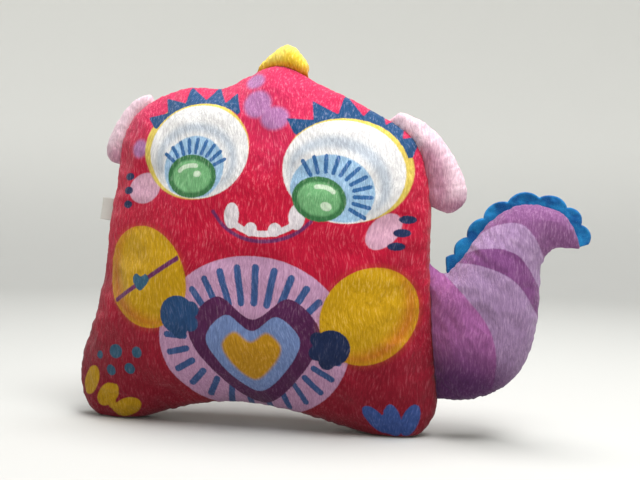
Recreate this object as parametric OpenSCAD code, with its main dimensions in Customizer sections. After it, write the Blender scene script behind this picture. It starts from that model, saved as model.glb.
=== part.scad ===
// Stuffed plush monster: a printed pillow body with ears, a horn, a striped tail with a
// felt crest, and a folded side label. Millimetres, +Z up, front towards -Y.
// Every sewn part is two fabric panels, the fibre filling between them and its seam thread.

/* [Toy] */
// Height from the floor to the tip of the horn
toy_height = 331; // [260:1:400]
// Thickness of the plush fabric with its pile
fabric_t = 2.5; // [1.5:0.1:3.5]
// Gap left between the filling and the fabric round it
filling_gap = 0.8; // [0.3:0.1:1.0]
// Gap at the sewn hinge of each ear, the horn, the tail and the label
hinge_gap = 0.6; // [0.4:0.1:1.0]

/* [Body] */
// Bulge of the front and of the back from the seam plane
body_depth = 58; // [45:1:65]

/* [Ears and horn] */
// Bulge of each side of the left ear
left_ear_depth = 8; // [6:1:10]
// Bulge of each side of the right ear
right_ear_depth = 12; // [8:1:14]
// How far the left ear's free edge is curled back
left_ear_curl = 18; // [0:1:22]
// How far the right ear's free edge is curled back
right_ear_curl = 5; // [0:1:12]
// Bulge of each side of the horn
horn_depth = 11; // [7:1:13]

/* [Tail] */
// Bulge of each side of the tail at its thickest
tail_depth = 32; // [24:1:38]
// Thickness of the felt crest
felt_t = 1.8; // [1:0.1:3]
// Height of the felt band that the scallops stand on
crest_band = 5.5; // [4:0.5:8]
// Height of the scallops above that band
scallop_h = 4.5; // [3:0.5:6]
// Number of scallops along the tail
scallops = 8; // [5:1:10]

/* [Label] */
// Height of the folded side label, along the seam
label_h = 20; // [14:1:30]
// How far the label stands out of the seam
label_w = 13; // [8:1:20]
// Thickness of one layer of the label's ribbon
ribbon_t = 0.5; // [0.3:0.1:0.8]

/* [Stitches] */
// Radius of the sewing thread
thread_r = 0.3; // [0.2:0.05:0.35]
// Number of hand stitches that close the filling hole
closing_count = 9; // [5:1:14]
// Length of one of those stitches
closing_length = 5; // [3:0.5:7]

/* [Hidden] */

drawn_height = 331;              // the outlines below are drawn at this height
size_k = toy_height / drawn_height;
steps = 4;                       // straight pieces between two outline points
body_rings = 8;
small_rings = 5;
thread_inset = 1.6;              // the seam thread lies this far inside an outline
thread_sides = 4;
seam_groove = 1.2;               // the linings stand this far off the seam plane, round the thread

// Body outline [x, z], anticlockwise from the top as seen from the front.
// The feet reach below z = 0 and are pressed flat on the floor.
body_points = [
    [24, 312], [-6, 305], [-30, 295], [-68, 293], [-106, 275], [-124, 246], [-128, 205],
    [-136, 150], [-144, 100], [-159, 55], [-157, 16], [-126, -14], [-84, 4], [-30, 17],
    [30, 15], [84, 2], [126, -14], [157, 14], [161, 46], [156, 104], [152, 150], [151, 208],
    [138, 248], [100, 274], [60, 294]
];
body_centre = [6, 135];

// Free edges of the sewn-on parts, anticlockwise. Their root edges follow the body outline.
left_ear_free = [[-92, 291], [-110, 287], [-129, 275], [-141, 258], [-144, 243], [-139, 231], [-131, 222]];
right_ear_free = [
    [156, 189], [170, 188], [181, 199], [180, 214], [170, 236], [154, 257], [134, 270], [116, 275]
];
horn_free = [[49, 306], [42, 317], [33, 328], [24, 331], [15, 326], [3, 316], [-6, 307]];

// The tail lies between its top edge, which carries the crest, and its lower edge.
// Points with the same number face each other across it.
tail_top = [
    [152.2, 150], [157, 142], [166, 139], [178, 153], [190, 170],
    [206, 187], [229, 197], [254, 192.5], [267, 180], [274, 163]
];
tail_low = [
    [162.3, 32], [192, 35], [222, 52], [237, 80], [242, 113],
    [243, 138], [244.5, 150], [251, 159.5], [262, 161], [273, 160]
];
tail_rows = 22;
tail_columns = 10;

label_top = [-130, 195];         // upper end of the label's seam
label_lean = 8;                  // the seam leans out by this angle downwards
closing_start = 13;              // the hand stitches start at this body outline point

// ---------------------------------------------------------------- curves

function scaled(p) = [for (q = p) q * size_k];

// Smooth curve from b to c, with a and d as the points before and after
function curve_at(a, b, c, d, t) =
    0.5 * (2 * b + (c - a) * t + (2 * a - 5 * b + 4 * c - d) * t * t
           + (3 * b - a - 3 * c + d) * t * t * t);

function closed_curve(p, n) = let (m = len(p))
    [for (i = [0:m - 1], j = [0:n - 1])
        curve_at(p[(i + m - 1) % m], p[i], p[(i + 1) % m], p[(i + 2) % m], j / n)];

// Open curve at a share u, from 0 to 1, of the way through its points
function open_at(p, u) = let (
        m = len(p) - 1,
        i = min(floor(u * m), m - 1),
        t = u * m - i)
    curve_at(p[max(i - 1, 0)], p[i], p[i + 1], p[min(i + 2, m)], t);

function open_curve(p, n) = [for (i = [0:n]) open_at(p, i / n)];

function side_of(a, b) = let (d = (b - a) / norm(b - a)) [d[1], -d[0]];

// Outward direction at point i of a closed outline that runs anticlockwise
function outward(line, i) = let (m = len(line)) side_of(line[(i + m - 1) % m], line[(i + 1) % m]);

function moved_out(line, by) = [for (i = [0:len(line) - 1]) line[i] + by * outward(line, i)];

// An outline drawn in towards a centre, which can't cross itself as a parallel one would. Where
// the edge runs slantwise to the centre, a point moves further, up to 1 / most_slant times.
most_slant = 0.12;
function drawn_in(line, centre, by) = [for (i = [0:len(line) - 1]) let (
        d = line[i] - centre * size_k,
        straight = max(most_slant, d * outward(line, i) / norm(d)))
    line[i] - by / straight * d / norm(d)];

// Points of a closed outline from one index to another, round through the start
function stretch_of(line, from, to) = let (m = len(line)) [for (i = [from:to]) line[(i + m) % m]];

// ---------------------------------------------------------------- outlines

body_line = closed_curve(scaled(body_points), steps);
body_clear = moved_out(body_line, hinge_gap);

// Root edges run clockwise along the body, because the parts lie outside it
function reversed(p) = [for (i = [len(p) - 1:-1:0]) p[i]];
left_root = reversed(stretch_of(body_clear, 3 * steps + 3, 5 * steps + 2));
right_root = reversed(stretch_of(body_clear, 20 * steps + 3, 22 * steps + 3));
horn_root = reversed(stretch_of(body_clear, 1 - steps, steps));

function closed_part(root, free, n) = concat(root, open_curve(scaled(free), n));
left_ear_line = closed_part(left_root, left_ear_free, 18);
right_ear_line = closed_part(right_root, right_ear_free, 22);
horn_line = closed_part(horn_root, horn_free, 14);

// Hinge lines touch the body outline: a point [x, z], and the way that the part stands out
left_hinge = [[-118.5, 260.3], [-0.88, 0.475]];
right_hinge = [[142.5, 241.8], [0.87, 0.493]];
horn_hinge = [[24, 312.7], [0, 1]];

// ---------------------------------------------------------------- height of a pillow

// Depth of a pillow at a share s, from 0 at the middle to 1 at the seam
function crown(s, roundness, fullness) = pow(max(0, 1 - pow(s, roundness)), fullness);

// The body is fuller near the floor, where the filling has settled
function body_fullness(z) = 0.50 + 0.14 * min(1, max(0, z / (220 * size_k)));

// A part curls back with the square of the distance from its hinge
function curled(p, part) = part[3] == undef ? 0 : let (
        reach = max(0, (p - part[3][0] * size_k) * part[3][1]),
        full_reach = 20 * size_k)
    part[4] * pow(reach / full_reach, 2);

// One ring of a pillow's skin. part is [centre, depth, fullness or 0 for the body's own, hinge, curl].
function ring(line, part, s, side, depth, low, off = 0) = [for (p = line) let (
        q = part[0] * size_k + s * (p - part[0] * size_k),
        full = part[2] == 0 ? body_fullness(p[1]) : part[2])
    [q[0], curled(q, part) + side * max(off, depth * crown(s, 2.4, full)), max(q[1], low)]];

// Rings crowd towards the seam, where the skin turns most
function ring_share(j, rings) = 1 - pow(1 - j / rings, 1.7);

// ---------------------------------------------------------------- solids from rings

// Faces between two rings of n points that start at indices a and b. The corners that
// each diagonal joins depend on whether b is the outer ring, so that nested skins match.
function band(a, b, n, outer) = [for (i = [0:n - 1]) let (k = (i + 1) % n)
    each outer ? [[a + i, a + k, b + k], [a + i, b + k, b + i]]
               : [[a + i, a + k, b + i], [a + k, b + k, b + i]]];

function fan(pole, a, n, flip) = [for (i = [0:n - 1]) let (k = (i + 1) % n)
    flip ? [pole, a + i, a + k] : [pole, a + k, a + i]];

// A closed solid from rings that grow out from one pole and shrink back to another
module ring_solid(first, rings, last) {
    n = len(rings[0]);
    m = len(rings);
    points = concat([first], [for (r = rings) each r], [last]);
    faces = concat(
        fan(0, 1, n, false),
        [for (j = [0:m - 2]) each band(1 + j * n, 1 + (j + 1) * n, n, j < m / 2 - 1)],
        fan(1 + m * n, 1 + (m - 1) * n, n, true));
    polyhedron(points = points, faces = faces);
}

// The front fabric panel of a pillow: its skin, and its lining side, which stands off the seam
module front_panel(line, part, rings) {
    inner = drawn_in(line, part[0], fabric_t);
    inner_depth = part[1] - fabric_t;
    shares = [for (j = [1:rings]) ring_share(j, rings)];
    skin = [for (s = shares) ring(line, part, s, -1, part[1], 0)];
    lining = [for (j = [rings - 1:-1:0])
        ring(inner, part, shares[j], -1, inner_depth, fabric_t, seam_groove)];
    pole = ring([part[0] * size_k], part, 0, -1, part[1], 0)[0];
    inner_pole = ring([part[0] * size_k], part, 0, -1, inner_depth, 0)[0];
    ring_solid(pole, concat(skin, lining), inner_pole);
}

// The back panel is the front one turned over, with the curl of the part kept
module back_panel(line, part, rings) {
    turned = [part[0], part[1], part[2], part[3], part[4] == undef ? undef : -part[4]];
    mirror([0, 1, 0]) front_panel(line, turned, rings);
}

module filling(line, part, rings) {
    inset = fabric_t + filling_gap;
    inner = drawn_in(line, part[0], inset);
    depth = part[1] - inset;
    shares = [for (j = [1:rings]) ring_share(j, rings)];
    front = [for (s = shares) ring(inner, part, s, -1, depth, inset)];
    back = [for (j = [rings - 2:-1:0]) ring(inner, part, shares[j], 1, depth, inset)];
    middle = [part[0] * size_k];
    ring_solid(ring(middle, part, 0, -1, depth, 0)[0], concat(front, back),
        ring(middle, part, 0, 1, depth, 0)[0]);
}

// A thread that runs once round a path
module seam_thread(path, part) {
    n = len(path);
    points = [for (i = [0:n - 1], a = [0:thread_sides - 1]) let (
            q = path[i] + thread_r * cos(360 * a / thread_sides) * outward(path, i))
        [q[0], curled(path[i], part) + thread_r * sin(360 * a / thread_sides), q[1]]];
    faces = [for (i = [0:n - 1], a = [0:thread_sides - 1]) let (
            k = (i + 1) % n,
            b = (a + 1) % thread_sides,
            s = thread_sides)
        each [[i * s + a, i * s + b, k * s + b], [i * s + a, k * s + b, k * s + a]]];
    polyhedron(points = points, faces = faces);
}

module outline_thread(line, part) {
    path = [for (q = drawn_in(line, part[0], thread_inset)) [q[0], max(q[1], thread_inset)]];
    seam_thread(path, part);
}

// ---------------------------------------------------------------- the tail

// Point of the tail at a share u along it and v across it, from -1 at the top edge to 1
function tail_xz(u, v) = [hinge_gap * (1 - u), 0]
    + open_at(scaled(tail_top), u) * (1 - v) / 2
    + open_at(scaled(tail_low), u) * (1 + v) / 2;

function tail_half(u) = norm(tail_xz(u, 1) - tail_xz(u, -1)) / 2;

tail_reach = 107 * size_k;        // an inset over this is its share of the tail's length, at each end

// How full the tail is along its length: closed at the body seam and at the tip
function tail_swell(u) = sin(90 * pow(min(1, u / 0.4), 0.85)) * pow(max(0, 1 - pow(u, 5)), 0.6);

function tail_depth_at(u) = min(tail_depth, 0.62 * tail_half(u) + 4);

// Share u along the tail of row i, when the outline is moved in by an inset
function tail_row(i, inset) = let (end = inset / tail_reach)
    end + (1 - 2 * end) * i / tail_rows;

// Point of the outline moved in by an inset, at a share v across the tail
function tail_in(i, v, inset) = let (u = tail_row(i, inset))
    tail_xz(u, v * max(0.1, 1 - inset / tail_half(u)));

// One skin of the tail, moved in from its outline, as rows of points
function tail_skin(side, inset, off = 0) = [for (i = [0:tail_rows], j = [0:tail_columns]) let (
        v = sin(90 * (2 * j / tail_columns - 1)),
        q = tail_in(i, v, inset),
        deep = max(0, tail_depth_at(tail_row(i, inset)) - inset),
        swell = tail_swell(i / tail_rows) * crown(abs(v), 2, 0.62))
    [q[0], side * max(off, deep * swell), q[1]]];

function tail_loop(inset) = concat(
    [for (i = [tail_rows:-1:0]) tail_in(i, -1, inset)],
    [for (i = [0:tail_rows]) tail_in(i, 1, inset)]);

// Two skins of the same size, joined round their edges
module skin_solid(near, far) {
    wide = tail_columns + 1;
    total = len(near);
    loop = concat(
        [for (j = [0:tail_columns - 1]) j],
        [for (i = [0:tail_rows - 1]) i * wide + tail_columns],
        [for (j = [tail_columns:-1:1]) tail_rows * wide + j],
        [for (i = [tail_rows:-1:1]) i * wide]);
    rim = [for (k = [0:len(loop) - 1]) let (a = loop[k], b = loop[(k + 1) % len(loop)])
        each [[a, b, b + total], [a, b + total, a + total]]];
    cells = [for (i = [0:tail_rows - 1], j = [0:tail_columns - 1]) i * wide + j];
    near_faces = [for (a = cells) each [[a, a + wide, a + wide + 1], [a, a + wide + 1, a + 1]]];
    far_faces = [for (a = cells) let (b = a + total)
        each [[b, b + wide + 1, b + wide], [b, b + 1, b + wide + 1]]];
    faces = concat(rim, far_faces, near_faces);
    polyhedron(points = concat(near, far), faces = faces);
}

// Height of the crest above the tail's edge: a band, and a row of round scallops on it
function crest_h(u) = let (scallop = scallop_h * pow(abs(sin(180 * scallops * u)), 0.7))
    crest_start_h + min(1, u * 12) * (crest_band - crest_start_h + scallop) * size_k;

crest_from = 0.22;               // share of the top edge where the crest starts
crest_steps = 96;
crest_gap = 0.3;                 // between the crest's root and the tail's edge
crest_start_h = 1.5;             // height of the crest where it starts
function crest_side(u) = let (e = 0.004)
    side_of(tail_xz(min(1, u + e), -1), tail_xz(max(0, u - e), -1));
function crest_point(i, out) = let (
        t = i / crest_steps,
        u = crest_from + (1 - crest_from) * t)
    tail_xz(u, -1) + crest_side(u) * (out ? crest_h(t) : crest_gap);
crest_line = concat(
    [for (i = [0:crest_steps]) crest_point(i, true)],
    [for (i = [crest_steps:-4:0]) crest_point(i, false)]);

// ---------------------------------------------------------------- place in the frame

// Each part's centre lies where the whole of its outline can be seen from
body_part = [body_centre, body_depth, 0];
left_ear_part = [[-130, 266], left_ear_depth, 0.9, left_hinge, left_ear_curl];
right_ear_part = [[154, 250], right_ear_depth, 0.9, right_hinge, right_ear_curl];
horn_part = [[24, 324], horn_depth, 0.9, horn_hinge, 2];

left_end = min([for (p = body_line) p[0]]);
right_end = max([for (p = crest_line) p[0]]);
// The origin is under the middle of the whole toy, tail included
module placed() translate([-(left_end + right_end) / 2, 0, 0]) children();

// ---------------------------------------------------------------- sub-parts

module body_front_panel() color("crimson") placed() front_panel(body_line, body_part, body_rings);

module body_back_panel() color("crimson") placed() back_panel(body_line, body_part, body_rings);

module body_filling() color("white") placed() filling(body_line, body_part, body_rings);

module body_seam_thread() color("firebrick") placed() outline_thread(body_line, body_part);

// Hand stitches across the bottom seam, where the toy was filled and closed
module closing_stitches() color("firebrick") placed() {
    p = [for (k = [-1:2]) body_points[closing_start + k] * size_k];
    for (i = [0:closing_count - 1]) {
        q = curve_at(p[0], p[1], p[2], p[3], (i + 0.5) / closing_count);
        translate([q[0], 0, q[1] - thread_r - 0.1]) rotate([90, 0, 0])
            cylinder(r = thread_r, h = closing_length, center = true, $fn = 16);
    }
}

module left_ear_front_panel() color("pink") placed()
    front_panel(left_ear_line, left_ear_part, small_rings);

module left_ear_back_panel() color("pink") placed()
    back_panel(left_ear_line, left_ear_part, small_rings);

module left_ear_filling() color("white") placed()
    filling(left_ear_line, left_ear_part, small_rings);

module left_ear_seam_thread() color("lightpink") placed()
    outline_thread(left_ear_line, left_ear_part);

module right_ear_front_panel() color("pink") placed()
    front_panel(right_ear_line, right_ear_part, small_rings);

module right_ear_back_panel() color("pink") placed()
    back_panel(right_ear_line, right_ear_part, small_rings);

module right_ear_filling() color("white") placed()
    filling(right_ear_line, right_ear_part, small_rings);

module right_ear_seam_thread() color("lightpink") placed()
    outline_thread(right_ear_line, right_ear_part);

module horn_front_panel() color("gold") placed() front_panel(horn_line, horn_part, small_rings);

module horn_back_panel() color("gold") placed() back_panel(horn_line, horn_part, small_rings);

module horn_filling() color("white") placed() filling(horn_line, horn_part, small_rings);

module horn_seam_thread() color("goldenrod") placed() outline_thread(horn_line, horn_part);

module tail_front_panel() color("mediumpurple") placed()
    skin_solid(tail_skin(-1, 0), tail_skin(-1, fabric_t, seam_groove));

module tail_back_panel() color("mediumpurple") placed()
    skin_solid(tail_skin(1, fabric_t, seam_groove), tail_skin(1, 0));

module tail_filling() color("white") placed() {
    inset = fabric_t + filling_gap;
    edge_off = 0.2;
    skin_solid(tail_skin(-1, inset, edge_off), tail_skin(1, inset, edge_off));
}

module tail_seam_thread() color("rebeccapurple") placed()
    seam_thread(tail_loop(thread_inset), [body_centre]);

module tail_crest() color("deepskyblue") placed()
    rotate([90, 0, 0]) linear_extrude(height = felt_t, center = true) polygon(crest_line);

// A ribbon folded double, with its fold away from the body
module side_label() color("whitesmoke") placed()
    translate([label_top[0] * size_k - hinge_gap, 0, label_top[1] * size_k])
        rotate([0, label_lean, 0]) mirror([0, 0, 1]) linear_extrude(height = label_h) {
            bend = 1.5 * ribbon_t;
            for (side = [-1, 1]) translate([-label_w + bend, side * ribbon_t - ribbon_t / 2])
                square([label_w - bend, ribbon_t]);
            translate([-label_w + bend, 0]) difference() {
                circle(r = bend, $fn = 48);
                circle(r = bend - ribbon_t, $fn = 48);
                translate([0, -bend]) square(2 * bend);
            }
        }

body_front_panel();
body_back_panel();
body_filling();
body_seam_thread();
closing_stitches();
left_ear_front_panel();
left_ear_back_panel();
left_ear_filling();
left_ear_seam_thread();
right_ear_front_panel();
right_ear_back_panel();
right_ear_filling();
right_ear_seam_thread();
horn_front_panel();
horn_back_panel();
horn_filling();
horn_seam_thread();
tail_front_panel();
tail_back_panel();
tail_filling();
tail_seam_thread();
tail_crest();
side_label();
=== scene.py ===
"""A stuffed plush monster, standing: a printed pillow body with two ears, a horn, a striped tail
with a felt crest and a blank side label. Shapes are drawn in millimetres, x to the right and z up
as seen from the front, and are moved into the frame's metres when a mesh is made."""

import math

import bpy
import numpy as np
from mathutils import Matrix, Vector, geometry, kdtree


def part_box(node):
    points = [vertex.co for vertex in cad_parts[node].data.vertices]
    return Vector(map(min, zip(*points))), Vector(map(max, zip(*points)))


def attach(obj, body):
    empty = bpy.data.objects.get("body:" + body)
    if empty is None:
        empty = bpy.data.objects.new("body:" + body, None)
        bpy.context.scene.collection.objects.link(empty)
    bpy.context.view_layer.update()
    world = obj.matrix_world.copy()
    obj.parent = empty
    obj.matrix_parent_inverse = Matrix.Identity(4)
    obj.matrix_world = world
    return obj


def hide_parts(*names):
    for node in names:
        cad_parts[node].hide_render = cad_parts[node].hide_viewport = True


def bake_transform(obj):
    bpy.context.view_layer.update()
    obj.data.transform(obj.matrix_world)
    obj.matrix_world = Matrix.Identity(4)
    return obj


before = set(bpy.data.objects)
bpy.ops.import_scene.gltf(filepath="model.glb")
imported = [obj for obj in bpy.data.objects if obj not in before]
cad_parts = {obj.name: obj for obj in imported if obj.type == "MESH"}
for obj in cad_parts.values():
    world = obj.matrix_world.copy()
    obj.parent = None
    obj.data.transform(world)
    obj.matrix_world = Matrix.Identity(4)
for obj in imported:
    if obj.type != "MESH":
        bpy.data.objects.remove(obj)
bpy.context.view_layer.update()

MM = 0.001
FRONT, BACK = -1, 1

# Outlines in mm, the same points as in the CAD model
BODY_POINTS = [
    (24, 312), (-6, 305), (-30, 295), (-68, 293), (-106, 275), (-124, 246), (-128, 205),
    (-136, 150), (-144, 100), (-159, 55), (-157, 16), (-126, -14), (-84, 4), (-30, 17),
    (30, 15), (84, 2), (126, -14), (157, 14), (161, 46), (156, 104), (152, 150), (151, 208),
    (138, 248), (100, 274), (60, 294),
]
LEFT_EAR_FREE = [(-92, 291), (-110, 287), (-129, 275), (-141, 258), (-144, 243), (-139, 231), (-131, 222)]
RIGHT_EAR_FREE = [
    (156, 189), (170, 188), (181, 199), (180, 214), (170, 236), (154, 257), (134, 270), (116, 275),
]
HORN_FREE = [(49, 306), (42, 317), (33, 328), (24, 331), (15, 326), (3, 316), (-6, 307)]
TAIL_TOP = [
    (152.2, 150), (157, 142), (166, 139), (178, 153), (190, 170),
    (206, 187), (229, 197), (254, 192.5), (267, 180), (274, 163),
]
TAIL_LOW = [
    (162.3, 32), (192, 35), (222, 52), (237, 80), (242, 113),
    (243, 138), (244.5, 150), (251, 159.5), (262, 161), (273, 160),
]

# Sizes in mm
FABRIC = 2.2        # thickness of the plush
SEAM_IN = 3.2       # how far inside the outline the seam's threads run
FILLING_IN = 4.2    # how far inside the outline the filling ends
ROOT_TUCK = 3.8     # how far a sewn-on part's root reaches into the body's seam
STITCH = 3.0        # length of a machine stitch

# Half thickness in mm, and the power of its swell: 0.5 is round, more is leaner at the seam
BODY_FORM = (57.0, 0.54)
TAIL_FORM = (31.0, 0.52)
SMALL_POWER = 0.5


# ---------------- curves and distances


def curve_at(a, b, c, d, t):
    """Smooth curve from b to c, with a and d as the points before and after."""
    return 0.5 * (
        2 * b + (c - a) * t + (2 * a - 5 * b + 4 * c - d) * t**2 + (3 * b - a - 3 * c + d) * t**3
    )


def on_loop(points, place):
    """Point of a closed smooth curve at a place counted in its own points."""
    p = np.array(points, float)
    n, i = len(p), math.floor(place)
    return curve_at(p[(i - 1) % n], p[i % n], p[(i + 1) % n], p[(i + 2) % n], place - i)


def closed_curve(points, spacing):
    p = np.array(points, float)
    made = []
    for i in range(len(p)):
        count = max(1, round(np.linalg.norm(p[(i + 1) % len(p)] - p[i]) / spacing))
        made += [on_loop(p, i + j / count) for j in range(count)]
    return np.array(made)


def with_ends(points):
    """The points of an open smooth curve, with one more before and after."""
    p = np.array(points, float)
    return np.vstack([2 * p[0] - p[1], p, 2 * p[-1] - p[-2]])


def open_curve(points, spacing):
    p = with_ends(points)
    made = []
    for i in range(1, len(p) - 2):
        count = max(1, round(np.linalg.norm(p[i + 1] - p[i]) / spacing))
        made += [curve_at(*p[i - 1 : i + 3], j / count) for j in range(count)]
    return np.array(made + [p[-2]])


def unit(lines):
    return lines / np.maximum(np.linalg.norm(lines, axis=1), 1e-12)[:, None]


def right_of(ahead):
    """Flat directions, each a quarter turn clockwise from the one given."""
    return np.stack([ahead[:, 1], -ahead[:, 0]], 1)


def outward_of(line):
    """Outward direction at each point of a closed line that runs anticlockwise."""
    return right_of(unit(np.roll(line, -1, 0) - np.roll(line, 1, 0)))


def looped(line):
    """A closed line with its first point again at the end, and how far along each point is."""
    loop = np.vstack([line, line[:1]])
    return loop, np.r_[0, np.cumsum(np.linalg.norm(np.diff(loop, axis=0), axis=1))]


def spaced(line, count_for):
    """Evenly spaced points of a closed line. count_for gives their number from its length."""
    loop, walk = looped(line)
    places = np.linspace(0, walk[-1], count_for(walk[-1]), endpoint=False)
    return np.stack([np.interp(places, walk, loop[:, k]) for k in (0, 1)], 1)


def evened(line, spacing):
    """A closed line with evenly spaced points."""
    return spaced(line, lambda length: max(8, round(length / spacing)))


def nearest_on(p, corners):
    """Signed distance to a closed line, negative inside, with the nearest point and how far
    along the line it is."""
    best = np.full(len(p), 1e9)
    nearest = np.zeros((len(p), 2))
    along = np.zeros(len(p))
    inside = np.zeros(len(p), bool)
    walked = 0.0
    for a, b in zip(corners, np.roll(corners, -1, 0)):
        ab = b - a
        length = max(np.linalg.norm(ab), 1e-9)
        share = np.clip((p - a) @ ab / length**2, 0, 1)
        foot = a + share[:, None] * ab
        away = np.hypot(*(p - foot).T)
        closer = away < best
        best[closer] = away[closer]
        nearest[closer] = foot[closer]
        along[closer] = walked + share[closer] * length
        if a[1] != b[1]:
            crosses = (a[1] > p[:, 1]) != (b[1] > p[:, 1])
            inside ^= crosses & (p[:, 0] < a[0] + (p[:, 1] - a[1]) * ab[0] / ab[1])
        walked += length
    return np.where(inside, -best, best), nearest, along


def nearest_on_open(p, line):
    """The same for an open line, which is taken there and back a hair apart."""
    return nearest_on(p, np.vstack([line, line[::-1] + 0.01]))


def smooth_step(low, high, x):
    t = np.clip((x - low) / (high - low), 0, 1)
    return t * t * (3 - 2 * t)


def waves(p, size, seed, count=14):
    """Smooth random field over points, about -1 to 1. size is its wavelength in mm, one number
    or one per direction."""
    draw = np.random.default_rng(seed)
    turn = draw.uniform(0, 2 * math.pi, count)
    rate = draw.uniform(0.6, 1.4, count)
    phase = draw.uniform(0, 2 * math.pi, count)
    q = p / np.asarray(size, float) * 2 * math.pi
    field = sum(
        np.sin(rate[k] * (q[:, 0] * math.cos(turn[k]) + q[:, 1] * math.sin(turn[k])) + phase[k])
        for k in range(count)
    )
    return field / math.sqrt(count)


# ---------------- pillows


def triangulated(outline, spacing):
    """Even triangles inside a closed outline. The outline's points come first."""
    n = len(outline)
    low, high = outline.min(0), outline.max(0)
    rows = np.arange(low[1] + spacing / 2, high[1], spacing * 0.866)
    grid = np.array([
        (x, z)
        for k, z in enumerate(rows)
        for x in np.arange(low[0] + (k % 2) * spacing / 2, high[0], spacing)
    ])
    away, _, _ = nearest_on(grid, outline)
    grid = grid[away < -0.6 * spacing]
    flat = np.vstack([outline, grid])
    edges = [(i, (i + 1) % n) for i in range(n)]
    made = geometry.delaunay_2d_cdt([Vector(q) for q in flat], edges, [], 1, 1e-5)
    source = np.array([o[0] if o else -1 for o in made[3]])
    faces = source[np.array(made[2])]
    corner = flat[faces]
    ab, ac = corner[:, 1] - corner[:, 0], corner[:, 2] - corner[:, 0]
    turned = ab[:, 0] * ac[:, 1] - ab[:, 1] * ac[:, 0] < 0
    faces[turned] = faces[turned][:, ::-1]
    return flat, faces


def membrane(flat, faces, held):
    """Height of an evenly blown-up film over each point, zero at the first `held` points."""
    n = len(flat)
    tri = flat[faces]
    starts, ends, pulls = [], [], []
    for k in range(3):
        a = tri[:, (k + 1) % 3] - tri[:, k]
        b = tri[:, (k + 2) % 3] - tri[:, k]
        cross = np.abs(a[:, 0] * b[:, 1] - a[:, 1] * b[:, 0])
        pull = 0.5 * (a * b).sum(1) / np.maximum(cross, 1e-9)
        starts += [faces[:, (k + 1) % 3], faces[:, (k + 2) % 3]]
        ends += [faces[:, (k + 2) % 3], faces[:, (k + 1) % 3]]
        pulls += [pull, pull]
    starts, ends, pulls = map(np.concatenate, (starts, ends, pulls))
    total = np.bincount(starts, pulls, n)
    load = np.bincount(faces.ravel(), np.repeat(cross / 6, 3), n)
    free = np.arange(n) >= held
    load[~free] = 0
    scale = np.where(free, 1 / np.maximum(total, 1e-9), 0)
    # Conjugate gradients, until the forces balance at every free point
    film = np.zeros(n)
    left = load.copy()
    step = scale * left
    size = left @ step
    first = size
    for _ in range(3000):
        moved = np.where(free, total * step - np.bincount(starts, pulls * step[ends], n), 0)
        share = size / (step @ moved)
        film += share * step
        left -= share * moved
        better = scale * left
        new_size = left @ better
        if new_size < 1e-12 * first:
            break
        step = better + new_size / size * step
        size = new_size
    return film


class Pillow:
    """The flat layout of a stuffed shape, and the height of its skin over each point."""

    def __init__(self, outline, spacing, depth, fullness):
        self.held = len(outline)
        flat, self.faces = triangulated(outline, spacing)
        film = membrane(flat, self.faces, self.held)
        away, nearest, self.along = nearest_on(flat, outline)
        away = np.maximum(-away, 0)
        inner = away > 1e-6
        close = inner & (away < 2.5 * spacing)
        # The skin is steep at the seam, so the points there are drawn towards it until they are
        # evenly spaced along the skin. The film's height is then worked out at their new places.
        steep = depth**2 * (film[close] / away[close]).mean() / film.max()
        reach = min(60.0, away.max())
        spread = 1 + steep / reach
        drawn = (np.sqrt(steep**2 + 4 * spread * away**2) - steep) / 2
        drawn = np.where(away < reach, drawn, away)
        safe = np.maximum(away, 1e-6)
        film = np.where(inner, drawn * (film / safe + (away - drawn) / 2), 0)
        self.flat = np.where(inner[:, None], nearest + (flat - nearest) * (drawn / safe)[:, None], flat)
        self.height = depth * (np.maximum(film, 0) / film.max()) ** fullness
        out = outward_of(outline)
        _, walk = looped(outline)
        index = np.clip(np.searchsorted(walk, self.along, "right") - 1, 0, self.held - 1)
        self.out = np.where(inner[:, None], (nearest - flat) / safe[:, None], out[index])
        self.from_seam = np.sqrt(drawn**2 + self.height**2)

    def skin(self, side):
        """Points of one skin, in mm."""
        return np.stack([self.flat[:, 0], side * self.height, self.flat[:, 1]], 1)


def normals_of(points, faces):
    a, b, c = (points[faces[:, k]] for k in range(3))
    face = np.cross(b - a, c - a)
    total = np.zeros_like(points)
    for k in range(3):
        for axis in range(3):
            total[:, axis] += np.bincount(faces[:, k], face[:, axis], len(points))
    return unit(total)


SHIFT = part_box("body_front_panel")[0].x / MM - closed_curve(BODY_POINTS, 2)[:, 0].min()


def in_frame(points):
    """Drawing millimetres to the frame's metres."""
    return (np.asarray(points, float) + [SHIFT, 0, 0]) * MM


def placed(name, data):
    """A new object in the scene."""
    made = bpy.data.objects.new(name, data)
    bpy.context.scene.collection.objects.link(made)
    return made


def smooth_mesh(name, points, faces):
    """An object made of points in metres. faces is an array or a list of corner lists."""
    mesh = bpy.data.meshes.new(name)
    mesh.from_pydata(points, [], [list(map(int, f)) for f in faces])
    mesh.polygons.foreach_set("use_smooth", [True] * len(mesh.polygons))
    mesh.update()
    return placed(name, mesh)


def new_piece(name, points, faces):
    """The same from points in drawing mm."""
    return smooth_mesh(name, in_frame(points).tolist(), faces)


def closed_skin(outer, faces, inner, inner_faces, held):
    """Points and faces of two skins that share their first `held` points."""
    inner_faces = np.where(inner_faces < held, inner_faces, inner_faces + len(outer) - held)
    return np.vstack([outer, inner[held:]]), np.vstack([faces, inner_faces[:, ::-1]])


# ---------------- relief of the fabric


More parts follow.
